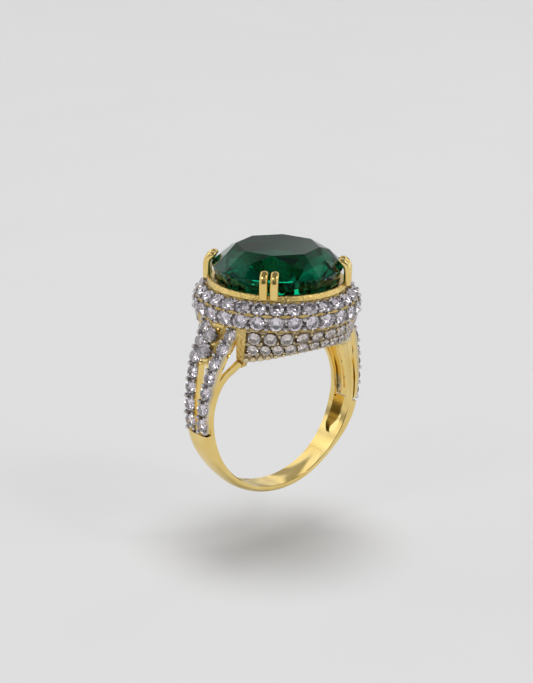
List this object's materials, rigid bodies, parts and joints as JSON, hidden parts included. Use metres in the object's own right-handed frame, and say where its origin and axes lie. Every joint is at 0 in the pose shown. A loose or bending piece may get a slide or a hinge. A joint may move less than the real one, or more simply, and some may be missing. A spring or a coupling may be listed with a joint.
{
  "type": "cocktail ring",
  "caption": "Cocktail ring: a large round green brilliant in paired claws on a domed pave halo, with split pave shoulders on a plain gold band.",
  "frame": {"origin": "centre of the finger bore, on its axis, midway across the band", "axes": "+Z from the bore to the centre stone, +Y along the finger, +X across the shoulders"},
  "size_m": [0.0198, 0.0166, 0.0256],
  "materials": {
    "yellow_gold": "polished",
    "white_rhodium": "polished plating with fine texture between the stones",
    "green_stone": "faceted and polished",
    "white_stone": "faceted and polished"
  },
  "bodies": {
    "root": {"band": "yellow_gold", "shoulder_left": "white_rhodium", "shoulder_right": "white_rhodium", "halo_dome": "white_rhodium", "halo_stone_1": "white_stone", "halo_stone_2": "white_stone", "halo_stone_3": "white_stone", "halo_stone_4": "white_stone", "halo_stone_5": "white_stone", "halo_stone_6": "white_stone", "halo_stone_7": "white_stone", "halo_stone_8": "white_stone", "halo_stone_9": "white_stone", "halo_stone_10": "white_stone", "halo_stone_11": "white_stone", "halo_stone_12": "white_stone", "halo_stone_13": "white_stone", "halo_stone_14": "white_stone", "halo_stone_15": "white_stone", "halo_stone_16": "white_stone", "halo_stone_17": "white_stone", "halo_stone_18": "white_stone", "halo_stone_19": "white_stone", "halo_stone_20": "white_stone", "halo_stone_21": "white_stone", "halo_stone_22": "white_stone", "halo_stone_23": "white_stone", "halo_stone_24": "white_stone", "halo_stone_25": "white_stone", "halo_stone_26": "white_stone", "halo_stone_27": "white_stone", "halo_stone_28": "white_stone", "halo_lower_row": "white_stone", "strand_left_front": "white_stone", "strand_left_back": "white_stone", "shoulder_stone_left_1": "white_stone", "shoulder_stone_left_2": "white_stone", "strand_right_front": "white_stone", "strand_right_back": "white_stone", "shoulder_stone_right_1": "white_stone", "shoulder_stone_right_2": "white_stone", "gallery_front": "white_rhodium", "gallery_upper_row_front": "white_stone", "gallery_lower_row_front": "white_stone", "gallery_back": "white_rhodium", "gallery_upper_row_back": "white_stone", "gallery_lower_row_back": "white_stone", "claw_front_left_1": "yellow_gold", "claw_front_left_2": "yellow_gold", "claw_front_right_1": "yellow_gold", "claw_front_right_2": "yellow_gold", "claw_back_right_1": "yellow_gold", "claw_back_right_2": "yellow_gold", "claw_back_left_1": "yellow_gold", "claw_back_left_2": "yellow_gold", "collet": "yellow_gold", "stone_seat": "yellow_gold", "centre_stone": "green_stone"}
  },
  "joints": []
}
